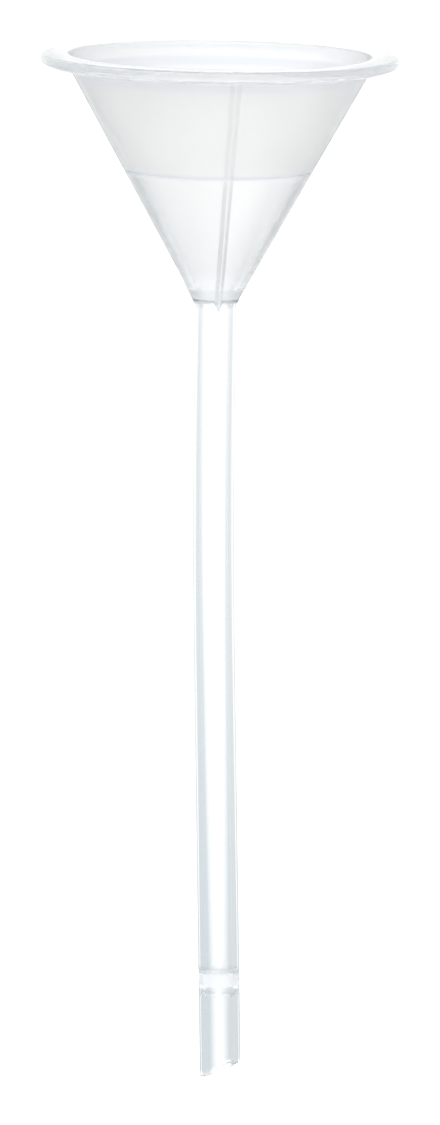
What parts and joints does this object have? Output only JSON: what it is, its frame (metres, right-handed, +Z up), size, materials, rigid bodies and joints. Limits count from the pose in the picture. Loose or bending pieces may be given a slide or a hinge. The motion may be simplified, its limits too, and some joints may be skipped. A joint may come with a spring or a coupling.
{
  "type": "laboratory funnel",
  "caption": "Long-stem laboratory funnel: milky 58 degree cone with a rounded rim flange and outside vent ribs, and a clear, slightly bowed stem tube cut off at a slant.",
  "frame": {"origin": "on the bowl's axis at the neck, where the cone ends and the stem comes out", "axes": "+Z up along the bowl's axis; the stem hangs along -Z and bows 1.75 degrees towards +X; one rib stands 6.4 degrees round from -Y towards +X"},
  "size_m": [0.069, 0.069, 0.1986],
  "materials": {
    "bowl": "milky translucent moulded polypropylene, satin",
    "stem": "clear extruded plastic tube, glossy",
    "weld": "clear fused plastic, slightly hazy"
  },
  "bodies": {
    "root": {"bowl": "bowl", "stem_tube": "stem", "neck_weld": "weld", "tip_weld": "weld", "drip_tip": "stem"}
  },
  "joints": []
}
